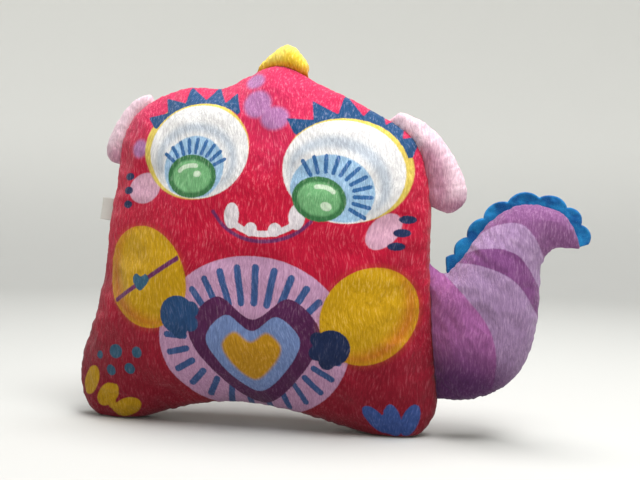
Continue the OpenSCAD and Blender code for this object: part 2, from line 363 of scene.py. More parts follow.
class Relief:
    """What bends a skin away from the plain pillow: the seam's groove and puckers, broad dents
    and the lie of the pile, each with its depth in mm, then a curl and the floor."""

    def __init__(self, seed, groove, pucker, dent, nap, curl=None, root=None, floor=False):
        self.seed, self.groove, self.pucker, self.dent, self.nap = seed, groove, pucker, dent, nap
        self.curl, self.root, self.floor = curl, root, floor

    def near_root(self, flat):
        """1 at the edge that is sewn to the body, 0 away from it."""
        if self.root is None:
            return np.zeros(len(flat))
        away, _, _ = nearest_on(flat, self.root)
        return 1 - smooth_step(0, 7, np.abs(away))

    def apply(self, pillow, side, points, faces, inset=0.0, bend=None):
        """points with the relief, moved `inset` mm into the stuffing along the skin. bend gives
        the cloth's own movement."""
        flat = pillow.flat
        from_seam = pillow.from_seam
        seed = self.seed + (50 if side == BACK else 0)
        held = np.arange(len(points)) < pillow.held
        free_edge = 1 - self.near_root(flat)
        pull = self.groove * free_edge * np.exp(-from_seam / 2.6)
        moved = points.copy()
        moved[:, 0] -= pull * pillow.out[:, 0]
        moved[:, 2] -= pull * pillow.out[:, 1]
        normal = normals_of(moved, faces if side == FRONT else faces[:, ::-1])
        along = np.stack([pillow.along, from_seam * 0.35], 1)
        pucker = waves(along, 11, seed, 10) + 0.6 * waves(along, 5.5, seed + 1, 8)
        pucker *= self.pucker * np.exp(-from_seam / 16) * (1 - np.exp(-from_seam / 3))
        calm = smooth_step(0, 18, from_seam)
        dent = self.dent * calm * (waves(flat, 75, seed + 2) + 0.5 * waves(flat, 34, seed + 3))
        lie = flat + 5 * np.stack([waves(flat, 60, seed + 4), 0 * from_seam], 1)
        nap = waves(lie, (3.6, 16), seed + 5, 18) + 0.6 * waves(lie, (2.9, 9), seed + 6, 18)
        nap *= self.nap * (1 - np.exp(-from_seam / 2)) * (inset == 0)
        lift = np.where(held, 0, pucker + dent + nap - inset)
        moved += lift[:, None] * normal
        if bend is not None:
            moved += bend(pillow, side)
        if self.curl:
            moved[:, 1] += curl_back(moved[:, [0, 2]], *self.curl)
        if self.floor:
            moved[:, 2] = settled(moved[:, 2])
        return moved


def curl_back(flat, hinge, way, amount):
    """How far a part curls back: with the square of its distance from the hinge, `amount` mm at
    20 mm and no further than at 24 mm."""
    reach = np.maximum(0, (flat - np.array(hinge)) @ np.array(way))
    return amount * (np.minimum(reach, 24) / 20) ** 2


def settled(z, edge=5.0):
    """Heights pressed flat on the floor, with a soft edge. Nothing moves above 26 mm."""
    pressed = np.maximum((z + np.sqrt(z**2 + edge**2)) / 2 - 0.5, 0)
    return pressed + (z - pressed) * smooth_step(6, 26, z)


def panel(name, outline, spacing, form, side, relief, bend=None):
    """One fabric panel of a stuffed shape: a fine outer skin and a plain lining, sewn together
    round the same edge. form is its half thickness and fullness. Returns the piece and the number
    of points of its skin."""
    skin = Pillow(outline, spacing, *form)
    lining = Pillow(outline, max(3.2 * spacing, 4.0), *form)
    outer = relief.apply(skin, side, skin.skin(side), skin.faces, 0.0, bend)
    inner = relief.apply(lining, side, lining.skin(side), lining.faces, FABRIC, bend)
    points, faces = closed_skin(outer, skin.faces, inner, lining.faces, skin.held)
    return new_piece(name, points, faces[:, ::-1] if side == BACK else faces), len(outer)


def body_outline(spacing):
    return closed_curve(BODY_POINTS, spacing)


def root_line(first, last, spacing):
    """The body's outline between two of its points, run backwards and tucked into its seam."""
    length = np.linalg.norm(on_loop(BODY_POINTS, first) - on_loop(BODY_POINTS, last))
    places = np.linspace(last, first, max(3, round(1.1 * length / spacing)))
    line = np.array([on_loop(BODY_POINTS, s) for s in places])
    ahead = np.array([on_loop(BODY_POINTS, s + 0.01) for s in places]) - line
    return line - ROOT_TUCK * right_of(unit(ahead))


def tucked(edge, root):
    """A free edge whose two ends slip into the body's seam, towards the root."""
    start, end = np.linalg.norm(edge - edge[0], axis=1), np.linalg.norm(edge - edge[-1], axis=1)
    slip = (1 - smooth_step(0, 9, np.minimum(start, end)))[:, None]
    _, nearest, _ = nearest_on_open(edge, root)
    return edge + slip * 0.8 * (nearest - edge)


def sewn_outline(free, first, last, spacing):
    """Outline of a part whose root runs along the body: its free edge, then its root."""
    root = root_line(first, last, spacing)
    edge = tucked(open_curve(free, spacing), root)
    return np.vstack([root, edge]), root


def tail_outline(spacing):
    top, low = open_curve(TAIL_TOP, spacing), open_curve(TAIL_LOW, spacing)
    root = np.linspace(top[0] - [ROOT_TUCK, 0], low[0] - [ROOT_TUCK, 0], round(118 / spacing))
    for edge in (top, low):
        from_root = np.linalg.norm(edge - edge[0], axis=1)
        edge[:, 0] -= 0.8 * ROOT_TUCK * (1 - smooth_step(0, 9, from_root))
    tip = np.linspace(low[-1], top[-1], 4)[1:-1]
    return np.vstack([root, low[1:], tip, top[:0:-1]]), root


# ---------------- cloth


# Soft cloth, blown up from inside and 3.5 % larger than its flat pattern
CLOTH = {
    "quality": 6, "mass": 0.2, "air_damping": 2, "bending_stiffness": 0.15,
    "tension_stiffness": 12, "compression_stiffness": 12, "shear_stiffness": 6,
    "tension_damping": 8, "compression_damping": 8, "vertex_group_mass": "seam",
    "use_pressure": True, "uniform_pressure_force": 4, "shrink_min": -0.035,
}


def blown_up(outline, spacing, form, seed):
    """Simulates a slack cloth pillow blown up by its filling, held at its seam, and returns its
    flat points with how far the cloth moved there, front and back, in mm."""
    slack = Pillow(outline, spacing, *form)
    n, held = len(slack.flat), slack.held
    points, faces = closed_skin(slack.skin(FRONT), slack.faces, slack.skin(BACK), slack.faces, held)
    points[:, 1] += 0.15 * waves(points[:, [0, 2]], 20, seed)
    piece = new_piece("cloth_form", points, faces)
    group = piece.vertex_groups.new(name="seam")
    group.add(list(range(held)), 1.0, "REPLACE")
    cloth = piece.modifiers.new("cloth", "CLOTH")
    cloth.point_cache.frame_end = 30
    cloth.settings.effector_weights.gravity = 0
    for key, value in CLOTH.items():
        setattr(cloth.settings, key, value)
    scene = bpy.context.scene
    for number in range(1, 21):
        scene.frame_set(number)
    ready = piece.evaluated_get(bpy.context.evaluated_depsgraph_get())
    after = np.array([v.co for v in ready.data.vertices]) / MM - [SHIFT, 0, 0]
    scene.frame_set(1)
    bpy.data.objects.remove(piece)
    moved = after - points
    links = np.vstack([slack.faces[:, [0, 1]], slack.faces[:, [1, 2]], slack.faces[:, [2, 0]]])
    links = np.vstack([links, np.where(links < held, links, links + n - held)])
    links = np.vstack([links, links[:, ::-1]])
    count = np.bincount(links[:, 0], minlength=len(points))
    broad = moved.copy()
    for _ in range(25):
        around = np.stack(
            [np.bincount(links[:, 0], broad[links[:, 1], k], len(points)) for k in range(3)], 1
        )
        broad = 0.5 * broad + 0.5 * around / count[:, None]
        broad[:held] = 0
    # Folds are kept, the broad swell is cut to 30 %, and no point moves by as much as 5 mm
    kept = (moved - broad) + broad * 0.3
    size = np.linalg.norm(kept, axis=1)[:, None]
    kept *= 5.0 / (5.0 + size)
    kept[:held] = 0
    return slack.flat, kept[:n], np.vstack([kept[:held], kept[n:]])


class ClothField:
    """Carries the simulated movement over to a finer layout of the same outline."""

    def __init__(self, outline, spacing, form, seed):
        self.fields = None
        flat, front, back = blown_up(outline, spacing, form, seed)
        self.spacing = spacing
        self.fields = {FRONT: front, BACK: back}
        self.tree = kdtree.KDTree(len(flat))
        for i, q in enumerate(flat):
            self.tree.insert((q[0], q[1], 0), i)
        self.tree.balance()

    def __call__(self, pillow, side):
        moved = np.zeros((len(pillow.flat), 3))
        if self.fields is None:
            return moved
        for i, q in enumerate(pillow.flat[pillow.held:], pillow.held):
            found = self.tree.find_n((q[0], q[1], 0), 7)
            near = np.array([f[2] for f in found])
            weight = np.exp(-((near / (0.7 * self.spacing)) ** 2)) + 1e-9
            moved[i] = weight @ self.fields[side][[f[1] for f in found]] / weight.sum()
        return moved


# ---------------- printed artwork


def united(*shapes):
    return np.minimum.reduce(shapes)


def clipped(*shapes):
    return np.maximum.reduce(shapes)


def ellipse(p, centre, radii, turn=0.0):
    """Signed distance to an ellipse turned anticlockwise by so many degrees."""
    c, s = math.cos(math.radians(turn)), math.sin(math.radians(turn))
    q = (p - np.array(centre)) @ np.array([[c, -s], [s, c]])
    radii = np.array(radii, float)
    near = np.linalg.norm(q / radii, axis=1)
    return near * (near - 1) / np.maximum(np.linalg.norm(q / radii**2, axis=1), 1e-6)


def ellipses(p, *rows):
    """Signed distance to several ellipses, each a centre, its radii and perhaps a turn."""
    return united(*(ellipse(p, *row) for row in rows))


def in_a_row(p, count, first, step, radii, turn=0, fan=0):
    """Signed distance to a row of ellipses, each turned by `fan` more than the last."""
    first, step = np.array(first), np.array(step)
    return ellipses(p, *((first + k * step, radii, turn + k * fan) for k in range(count)))


def bar(p, a, b, width):
    """Signed distance to a straight bar with round ends."""
    a, b = np.array(a, float), np.array(b, float)
    share = np.clip((p - a) @ (b - a) / ((b - a) @ (b - a)), 0, 1)
    return np.linalg.norm(p - a - share[:, None] * (b - a), axis=1) - width / 2


def bars(p, ends, width):
    return united(*(bar(p, a, b, width) for a, b in ends))


def spiky(p, corners):
    """Signed distance to a polygon."""
    return nearest_on(p, np.array(corners, float))[0]


def heart(p, centre, width):
    """Signed distance to a plain heart, the same on both sides."""
    right = [(0.31, -0.22), (0.51, 0.14), (0.28, 0.40)]
    left = [(-x, z) for x, z in reversed(right)]
    shape = np.array([(0.0, -0.45), *right, (0.0, 0.24), *left])
    return nearest_on(p, closed_curve(np.array(centre) + width * shape, 2.5))[0]


def on_ellipse(centre, radii, angle):
    turn = math.radians(angle)
    return np.array(centre) + np.array(radii) * [math.cos(turn), math.sin(turn)]


def sunray(p, centre, inner, outer, angles, width):
    """Signed distance to bars that point away from a centre, at these angles."""
    ends = [(on_ellipse(centre, inner, a), on_ellipse(centre, outer, a)) for a in angles]
    return bars(p, ends, width)


def fringe(p, centre, radii, first, last, count, length):
    """Signed distance to a row of pointed lashes round part of an ellipse, the longest in the
    middle."""
    radii = np.array(radii, float)
    corners = []
    for share in np.linspace(0, 1, 2 * count + 1):
        angle, grow = first + (last - first) * share, 6
        if len(corners) % 2 == 1:
            angle, grow = angle + 6, 7 + length * (0.6 + 0.4 * math.sin(math.pi * share))
        corners.append(on_ellipse(centre, radii + grow, angle))
    inner = [on_ellipse(centre, radii + 2.5, a) for a in np.linspace(last, first, 12)]
    return spiky(p, corners + inner)


def smile(p, centre, radii, first, last, width):
    """Signed distance to a stripe along part of an ellipse."""
    line = open_curve([on_ellipse(centre, radii, a) for a in np.linspace(first, last, 9)], 2)
    return bars(p, zip(line[:-1], line[1:]), width)


def teeth(p, centre, radii, angles, sizes, spread):
    """Signed distance to a grin: a thin crescent with a round tooth at each angle."""
    shapes = [smile(p, centre, radii, angles[0] - spread, angles[-1] + spread, 5.0)]
    for angle, size in zip(angles, sizes):
        x, z = on_ellipse(centre, radii, angle)
        shapes.append(ellipse(p, (x, z + 0.3 * size), (3.6 + 0.2 * size, 0.7 * size)))
    return united(*shapes)


def paw(p, centre, size, turn):
    """Signed distance to a round paw with three toes."""
    toes = [on_ellipse(centre, (size * 0.85,) * 2, turn + a) for a in (-52, 0, 52)]
    return ellipses(p, (centre, (size,) * 2), *((toe, (size * 0.42,) * 2) for toe in toes))


FOREVER_FAR = 1000.0        # a distance that prints nothing, mm
NOWHERE = np.zeros((1, 2))  # one place, for reading the inks' names and dyes
LEFT_EYE, LEFT_EYE_RADII = (-39, 235), (45, 39.5)
RIGHT_EYE, RIGHT_EYE_RADII = (84, 220), (49, 42)
LEFT_IRIS, RIGHT_IRIS = (-42, 214), (66, 197)
IRIS_RADII = (22, 18)
BELLY, BELLY_RADII = (12, 80), (81, 70)
SMILE, SMILE_RADII = (22, 206), (40, 38)


def body_inks(p):
    """The printed front, from the lowest layer to the highest: a name, a colour, how soft its
    edge is in mm, and its signed distance in mm at each point. It is a plain monster, in simple
    shapes."""
    arms = ellipses(p, ((-84, 129), (44, 39), 118), ((107, 103), (42, 36), 52))
    arms_lit = ellipses(p, ((-78, 134), (44, 36), 118), ((100, 109), (42, 34), 52))
    belly = ellipse(p, BELLY, BELLY_RADII)
    eyes = ellipses(p, (LEFT_EYE, LEFT_EYE_RADII, -8), (RIGHT_EYE, RIGHT_EYE_RADII, -12))
    irises = ellipses(p, (LEFT_IRIS, IRIS_RADII, -8), (RIGHT_IRIS, IRIS_RADII, -14))
    return [
        ("lilac", LILAC, 5.0, ellipses(
            p, ((3, 296), (9, 7)), ((9, 275), (12, 12)), ((25, 263), (12, 10)), ((-96, 238), (8, 8)))),
        ("dots", TEAL, 1.0, ellipses(
            p, ((-114, 63), (7, 6)), ((-92, 64), (5, 5)), ((-132, 58), (3.5, 3.5)),
            ((-119, 46), (5, 5)), ((-100, 49), (5, 5)))),
        ("petals", YELLOW, 1.4, in_a_row(p, 3, (-143, 34), (17, -11), (15, 8), 62, -18)),
        ("foot", FOOT_BLUE, 1.2, in_a_row(p, 3, (112, 16), (14, 0), (15, 7), 130, -30)),
        ("belly", BELLY_PINK, 1.2, belly),
        ("belly_bars", STEEL, 0.9, clipped(united(
            sunray(p, BELLY, (48, 32), (68, 61), range(34, 150, 13), 5.8),
            sunray(p, BELLY, (58, 44), (74, 63), range(178, 362, 14), 5.4)), belly + 2.0)),
        ("heart_low", PLUM, 1.0, heart(p, (14, 72), 110)),
        ("heart_mid", PERIWINKLE, 1.0, heart(p, (13, 70), 78)),
        ("heart_top", HEART_YELLOW, 4.0, heart(p, (12, 68), 49)),
        ("cheeks", CHEEK_PINK, 1.5, ellipses(p, ((-88, 204), (17, 13), 10), ((117, 172), (17, 11), 50))),
        ("arms", YELLOW, 1.2, arms),
        ("arm_shade", ORANGE, 18.0, clipped(-arms_lit, arms + 3.0)),
        ("paws", NAVY, 1.0, united(
            paw(p, (78, 77), 15, 200), in_a_row(p, 3, (-106, 214), (0, -12), (5, 3.4)),
            in_a_row(p, 3, (135, 182), (-4, -11), (7, 3.4)))),
        ("paw_blue", PAW_BLUE, 1.0, paw(p, (-52, 99), 16, -30)),
        ("purple", PURPLE, 1.4, united(
            clipped(bar(p, (-121, 103), (-50, 147), 4.0), arms + 1.0),
            smile(p, SMILE, (49, 44), 208, 322, 3.0))),
        ("arm_heart", TEAL, 0.8, heart(p, (-87, 125), 17)),
        ("teeth", TOOTH, 1.0, teeth(p, SMILE, SMILE_RADII, (228, 256, 284, 312), (15, 8, 8, 15), 9)),
        ("rims", RIM_YELLOW, 1.6, clipped(
            ellipses(p, ((-42, 237), (48, 42), -8), ((88, 223), (51, 44), -12)), eyes - 7.0)),
        ("whites", WHITE, 1.2, eyes),
        ("eye_shade", EYE_GREY, 8.0, clipped(
            ellipses(p, ((-40, 228), (37, 31), -8), ((80, 212), (43, 36), -20)),
            -ellipses(p, ((-40, 226), (30, 25), -8), ((78, 209), (36, 29), -20)), eyes + 5.0)),
        ("fans", FAN_BLUE, 1.4, clipped(
            ellipses(p, ((-41, 221), (27, 27)), ((76, 204), (34, 29), -14)), eyes + 1.0)),
        ("eye_bars", BAR_BLUE, 0.9, united(
            sunray(p, (-42, 216), (21, 18), (31, 29), range(25, 160, 15), 3.2),
            sunray(p, (70, 199), (24, 20), (37, 33), range(-30, 135, 15), 3.4))),
        ("iris", IRIS, 1.2, irises),
        ("iris_light", IRIS_LIGHT, 3.0, irises + 4.5),
        ("glints", GLINT, 1.2, united(
            smile(p, LEFT_IRIS, (13, 9), 75, 150, 3.6), smile(p, RIGHT_IRIS, (14, 10), 35, 100, 3.6),
            ellipses(p, ((-37, 216), (3.2, 2.6)), ((72, 191), (4.6, 3.4), -20)))),
        ("lashes", LASH_BLUE, 1.0, united(
            fringe(p, LEFT_EYE, (45, 39), 152, 48, 5, 15), fringe(p, RIGHT_EYE, (49, 42), 140, 16, 6, 18))),
    ]


def band_between(low, high):
    """Closed line round the stripe between two arcs that run the same way."""
    return np.vstack([open_curve(low, 2), open_curve(high, 2)[::-1]])


def tail_inks(p):
    """The tail's printed bands."""
    base = [(160, 141), (182, 122), (204, 93), (208, 59), (197, 20)]
    plum_low = [(166, 147), (195, 146), (224, 132), (248, 92)]
    plum_high = [(172, 151), (197, 160), (225, 154), (250, 112)]
    top = [(182, 163), (206, 179), (231, 177), (250, 140)]
    past_base, past_tip = [(130, 160), (130, 20)], [(175, 230), (300, 230), (300, 140)]
    return [
        ("tail_base", TAIL_BASE, 1.4, spiky(p, band_between(base, past_base))),
        ("tail_end", TAIL_END, 1.4, spiky(p, band_between(top, past_tip))),
        ("tail_plum", TAIL_PLUM, 1.4, spiky(p, band_between(plum_low, plum_high))),
        # Soft deep plum low on the tail by the body: partly the print's own plum, partly painted shade.
        ("tail_shade", TAIL_DEEP, 44.0, ellipse(p, (176, 40), (48, 32))),
    ]


# Painted shade on the ears: darker pink at the left ear's lower tip and at the right ear's root and lower
# fold.
def left_ear_inks(p):
    return [("painted_shade", EAR_SHADE_PINK, 22.0, ellipse(p, (-129, 232), (9, 9)))]


def right_ear_inks(p):
    return [("painted_shade", EAR_SHADE_PINK, 18.0, ellipses(p, ((153, 214), (14, 32), 12), ((166, 194), (18, 8))))]


# The horn turns orange towards its base.
def horn_inks(p):
    return [("orange_base", ORANGE, 14.0, ellipse(p, (23, 301), (30, 7)))]


# ---------------- colours and materials


def tint(red, green, blue):
    """A colour from 0-255 display values, as the linear one that a shader takes."""
    share = np.array([red, green, blue]) / 255
    linear = np.where(share <= 0.04045, share / 12.92, ((share + 0.055) / 1.055) ** 2.4)
    return (*linear.tolist(), 1.0)


# Ground tones for plush(), from bottom to top. The crimson darkens towards the floor and turns pinker at
# the top, partly the print's own tone and partly painted shade and light; the horn's yellow lightens
# towards its top, partly its own dye and partly a painted highlight.
CRIMSONS = tint(162, 4, 42), tint(212, 10, 58), tint(218, 42, 94)
HORN_YELLOWS = tint(230, 180, 0), tint(255, 218, 60), tint(255, 230, 100)
LILAC, PURPLE, PLUM = tint(184, 122, 176), tint(122, 44, 104), tint(96, 36, 88)
TEAL, STEEL, PERIWINKLE = tint(52, 104, 132), tint(66, 100, 158), tint(134, 162, 216)
YELLOW, ORANGE, RIM_YELLOW = tint(230, 180, 0), tint(220, 118, 24), tint(232, 208, 92)
# The belly heart's yellow is darker and more orange than the arms': partly its own print, partly painted
# shade.
HEART_YELLOW = tint(222, 164, 20)
NAVY, PAW_BLUE, FOOT_BLUE = tint(28, 48, 92), tint(40, 84, 134), tint(70, 104, 180)
BELLY_PINK, CHEEK_PINK, TOOTH = tint(222, 172, 208), tint(230, 178, 200), tint(238, 230, 232)
WHITE, EYE_GREY, FAN_BLUE = tint(240, 240, 236), tint(196, 206, 214), tint(160, 198, 226)
BAR_BLUE, IRIS, IRIS_LIGHT = tint(52, 108, 164), tint(58, 122, 70), tint(120, 186, 124)
GLINT, LASH_BLUE = tint(214, 238, 206), tint(22, 78, 126)
# The ears' pink, and the darker pink of their painted shade.
EAR_PINK, EAR_SHADE_PINK = tint(246, 214, 224), tint(202, 144, 168)
TAIL_LILAC, TAIL_BASE, TAIL_END = tint(182, 148, 190), tint(188, 112, 178), tint(146, 92, 144)
TAIL_PLUM, TAIL_DEEP = tint(140, 80, 140), tint(98, 46, 104)
CREST_BLUE, CREST_DEEP = tint(26, 122, 180), tint(12, 80, 144)
LABEL_GREY, FIBRE_WHITE = tint(214, 212, 206), tint(238, 238, 234)
PILE_GLINT, PILE_SHADOW = tint(255, 232, 240), (0.60, 0.57, 0.61, 1.0)
# Painted shade: the colour multiplier at the floor, and none higher up
UNSHADED, PAINTED_LOW_SHADE = (1.0, 1.0, 1.0, 1.0), (0.62, 0.60, 0.62, 1.0)


class Graph:
    """Short ways to build one material's nodes."""

    def __init__(self, name, roughness, sheen=0.0):
        self.material = bpy.data.materials.new(name)
        self.material.use_nodes = True
        self.tree = self.material.node_tree
        self.shader = self.tree.nodes["Principled BSDF"]
        self.shader.inputs["Roughness"].default_value = roughness
        self.shader.inputs["Specular IOR Level"].default_value = 0.18
        self.shader.inputs["Sheen Weight"].default_value = sheen
        self.shader.inputs["Sheen Roughness"].default_value = 0.45
        self.place = self.node("ShaderNodeTexCoord").outputs["Object"]

    def node(self, kind, **values):
        made = self.tree.nodes.new(kind)
        for key, value in values.items():
            if key in made.inputs.keys():
                self.feed(made.inputs[key], value)
            else:
                setattr(made, key, value)
        return made

    def feed(self, socket, value):
        """Sets a socket to a number or a colour, or joins another node's output to it."""
        if isinstance(value, (int, float, tuple)):
            socket.default_value = value
        else:
            self.tree.links.new(value, socket)

    def math(self, operation, *values, kind="ShaderNodeMath"):
        made = self.node(kind, operation=operation)
        for socket, value in zip(made.inputs, values):
            self.feed(socket, value)
        return made.outputs[0]

    def plus(self, a, b):
        return self.math("ADD", a, b)

    def times(self, a, b):
        return self.math("MULTIPLY", a, b)

    def centred(self, value, amount):
        """A value from 0 to 1 as one about zero, `amount` from end to end."""
        return self.times(self.math("SUBTRACT", value, 0.5), amount)

    def mix(self, factor, a, b, blend="MIX"):
        made = self.node("ShaderNodeMix", data_type="RGBA", blend_type=blend)
        for index, value in ((0, factor), (6, a), (7, b)):
            self.feed(made.inputs[index], value)
        return made.outputs[2]

    def ramp(self, value, low, high):
        """0 below low, 1 above high, smooth between."""
        made = self.node("ShaderNodeMapRange", interpolation_type="SMOOTHSTEP", Value=value)
        made.inputs["From Min"].default_value = low
        made.inputs["From Max"].default_value = high
        return made.outputs["Result"]

    def height(self):
        """Height above the floor, in metres."""
        return self.node("ShaderNodeSeparateXYZ", Vector=self.place).outputs["Z"]

    def noise(self, size, detail=3.0, rough=0.55, warp=None):
        """Noise whose lumps are `size` metres long, one number or one per direction."""
        sizes = size if isinstance(size, tuple) else (size,) * 3
        place = self.place
        if warp is not None:
            place = self.math("ADD", place, warp, kind="ShaderNodeVectorMath")
        scaled = self.node("ShaderNodeMapping", Scale=tuple(1 / s for s in sizes), Vector=place)
        made = self.node(
            "ShaderNodeTexNoise", Scale=1.0, Detail=detail, Roughness=rough,
            Vector=scaled.outputs["Vector"])
        return made.outputs["Fac"]

    def drift(self, size, amount):
        """A slow random shift of places, so that streaks don't all run the same way."""
        made = self.node("ShaderNodeTexNoise", Scale=1 / size, Detail=1.0, Vector=self.place)
        shift = made.outputs["Color"]
        for operation, value in (("SUBTRACT", 0.5), ("MULTIPLY", amount)):
            shift = self.math(operation, shift, (value,) * 3, kind="ShaderNodeVectorMath")
        return shift

    def bump(self, height, strength, distance):
        made = self.node("ShaderNodeBump", Strength=strength, Distance=distance, Height=height)
        self.feed(self.shader.inputs["Normal"], made.outputs["Normal"])

    def finish(self, colour):
        self.feed(self.shader.inputs["Base Color"], colour)
        return self.material


def plush(name, tones, low, high, inks=None):
    """Short-pile plush: a ground that goes through its three tones with height, its printed inks, a painted
    shade that darkens all of it towards the floor, and the pile's streaks with painted highlights that grow
    stronger higher up. Every ink reads its distance from an attribute of the piece."""
    g = Graph(name, 0.86, 0.16)
    drift = g.drift(0.05, 0.02)
    streak = g.noise((0.0013, 0.0028, 0.0075), 3.0, 0.6, drift)
    hair = g.noise((0.0005, 0.0010, 0.0030), 2.0, 0.6, drift)
    height = g.plus(g.height(), g.centred(g.noise(0.045, 2.0), 0.12))
    middle = (low + high) / 2
    colour = g.mix(g.ramp(height, low, middle), tones[0], tones[1])
    colour = g.mix(g.ramp(height, middle, high), colour, tones[2])
    ragged = g.centred(hair, 1.6)
    for ink, dye, soft, _ in inks(NOWHERE) if inks else ():
        away = g.node("ShaderNodeAttribute", attribute_name="ink_" + ink).outputs["Fac"]
        colour = g.mix(g.ramp(g.plus(away, ragged), soft / 2, -soft / 2), colour, dye)
    # Painted shade: every colour darkens towards the floor, to about 60 % at the bottom
    painted_low_shade = g.mix(g.ramp(height, -0.02, 0.24), PAINTED_LOW_SHADE, UNSHADED)
    colour = g.mix(1.0, colour, painted_low_shade, "MULTIPLY")
    upright = g.plus(g.times(g.ramp(streak, 0.28, 0.74), 0.72), g.times(g.ramp(hair, 0.25, 0.75), 0.28))
    colour = g.mix(upright, g.mix(1.0, colour, PILE_SHADOW, "MULTIPLY"), colour)
    lit = g.math("MULTIPLY_ADD", g.ramp(height, 0.03, 0.26), 0.12, 0.05)
    colour = g.mix(g.times(g.ramp(streak, 0.50, 0.78), lit), colour, PILE_GLINT)
    g.bump(g.plus(streak, g.times(hair, 0.5)), 0.65, 0.0011)
    return g.finish(colour)


def felt():
    g = Graph("felt", 0.92, 0.15)
    fibre = g.noise(0.0006, 4.0, 0.7, g.drift(0.004, 0.004))
    colour = g.mix(g.ramp(g.noise(0.012, 2.0), 0.35, 0.65), CREST_DEEP, CREST_BLUE)
    colour = g.mix(g.times(g.ramp(fibre, 0.5, 0.75), 0.3), colour, tint(120, 190, 220))
    g.bump(fibre, 0.6, 0.0006)
    return g.finish(colour)


def ribbon():
    """Blank satin ribbon: fine ribs along its length and a faint second set across."""
    g = Graph("woven_ribbon", 0.55, 0.2)
    ribs, across = (
        g.node("ShaderNodeTexWave", Scale=s, Distortion=0.6, bands_direction=way, Vector=g.place)
        for s, way in ((700.0, "Z"), (500.0, "X")))
    weave = g.plus(g.times(ribs.outputs["Fac"], 0.7), g.times(across.outputs["Fac"], 0.3))
    colour = g.mix(g.times(weave, 0.35), LABEL_GREY, tint(176, 174, 168))
    dirt = g.times(g.ramp(g.noise(0.006, 3.0), 0.5, 0.8), 0.3)
    colour = g.mix(dirt, colour, tint(190, 180, 170))
    g.bump(weave, 0.4, 0.0002)
    return g.finish(colour)


def thread_finish(name, dye):
    g = Graph(name, 0.6, 0.3)
    twist = g.noise(0.0004, 2.0)
    between = tuple(0.6 * c for c in dye[:3]) + (1.0,)
    g.bump(twist, 0.4, 0.0002)
    return g.finish(g.mix(g.ramp(twist, 0.3, 0.7), between, dye))


def fibre_filling():
    g = Graph("fibre_filling", 0.95, 0.4)
    hair = g.noise((0.0004, 0.0004, 0.004), 3.0, 0.6, g.drift(0.006, 0.012))
    tuft = g.noise(0.006, 3.0)
    g.bump(g.plus(hair, tuft), 0.8, 0.001)
    return g.finish(g.mix(g.ramp(tuft, 0.3, 0.7), tint(206, 206, 202), FIBRE_WHITE))


def print_on(piece, inks, skin_points):
    """Stores each ink's distance on the outer skin. The lining, after it, carries no print."""
    skin = np.array([v.co for v in piece.data.vertices[:skin_points]])
    for name, _, _, away in inks(skin[:, [0, 2]] / MM - [SHIFT, 0]):
        values = np.full(len(piece.data.vertices), FOREVER_FAR, np.float32)
        values[:skin_points] = away
        layer = piece.data.attributes.new("ink_" + name, "FLOAT", "POINT")
        layer.data.foreach_set("value", values)


# ---------------- the sewn parts


def dress(piece, material, slot_name, *nodes):
    piece.data.materials.append(material)
    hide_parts(*nodes)
    return piece


def drawn_in(outline, by, spacing=2.0):
    """A closed line moved inwards in small steps, which leaves no loops at a tip."""
    steps = math.ceil(by / 0.8)
    line = evened(outline, spacing)
    for _ in range(steps):
        moved = line - by / steps * outward_of(line)
        away, _, _ = nearest_on(moved, line)
        line = evened(moved[away < -0.95 * by / steps], spacing)
    return line


def filling(name, outline, form, relief, bend=None):
    """A lumpy closed mass of fibre, clear of the panels' linings."""
    depth, fullness = form
    fibre = Pillow(drawn_in(outline, FILLING_IN), 4.5, depth - FABRIC - 1.5, fullness)
    skins = []
    for side in (FRONT, BACK):
        lumps = 0.7 * waves(fibre.flat, 14, relief.seed + side)
        lumps += 0.5 * waves(fibre.flat, 7, relief.seed + 9 + side)
        points = fibre.skin(side)
        points[:, 1] += side * (lumps - 0.9) * (np.arange(len(points)) >= fibre.held)
        if relief.curl:
            points[:, 1] += curl_back(points[:, [0, 2]], *relief.curl)
        if bend is not None:
            points = points + bend(fibre, side)
        if relief.floor:
            points[:, 2] = np.maximum(settled(points[:, 2]), 3.4)
        skins.append(points)
    return new_piece(name, *closed_skin(skins[0], fibre.faces, skins[1], fibre.faces, fibre.held))


def tube(path, radius, closed=False, up=(0.0, 1.0, 0.0), sides=6):
    """Points and faces of a round tube along a path in drawing mm."""
    n = len(path)
    ahead = np.roll(path, -1, 0) - np.roll(path, 1, 0)
    if not closed:
        ahead[0], ahead[-1] = path[1] - path[0], path[-1] - path[-2]
    ahead = unit(ahead)
    first = unit(np.cross(ahead, up))
    second = np.cross(first, ahead)
    turn = (2 * math.pi * np.arange(sides) / sides)[None, :, None]
    ring = np.cos(turn) * first[:, None] + np.sin(turn) * second[:, None]
    points = (path[:, None] + radius * ring).reshape(-1, 3)
    faces = []
    for i in range(n if closed else n - 1):
        low, high = i * sides, (i + 1) % n * sides
        for a in range(sides):
            b = (a + 1) % sides
            faces.append((low + a, high + a, high + b, low + b))
    if not closed:
        faces.append(tuple(range(sides)))
        faces.append(tuple((n - 1) * sides + a for a in reversed(range(sides))))
    return points, faces


def joined(parts):
    points, faces, total = [], [], 0
    for p, f in parts:
        points.append(p)
        faces += [tuple(total + i for i in face) for face in f]
        total += len(p)
    return np.vstack(points), faces


def lock_stitches(name, outline, curl=None, floor=False):
    """The seam's two threads, which lock into each other between the stitches."""
    line = drawn_in(outline, SEAM_IN)
    x, z = spaced(line, lambda length: 6 * round(length / STITCH)).T
    wave = np.abs(np.sin(math.pi * np.arange(len(x)) / 6))
    parts = []
    for side in (FRONT, BACK):
        y = side * (0.12 + 0.42 * wave)
        if curl:
            y = y + curl_back(np.stack([x, z], 1), *curl)
        height = np.maximum(z, 3.2) if floor else z
        parts.append(tube(np.stack([x, y, height], 1), 0.28, closed=True))
    return new_piece(name, *joined(parts))


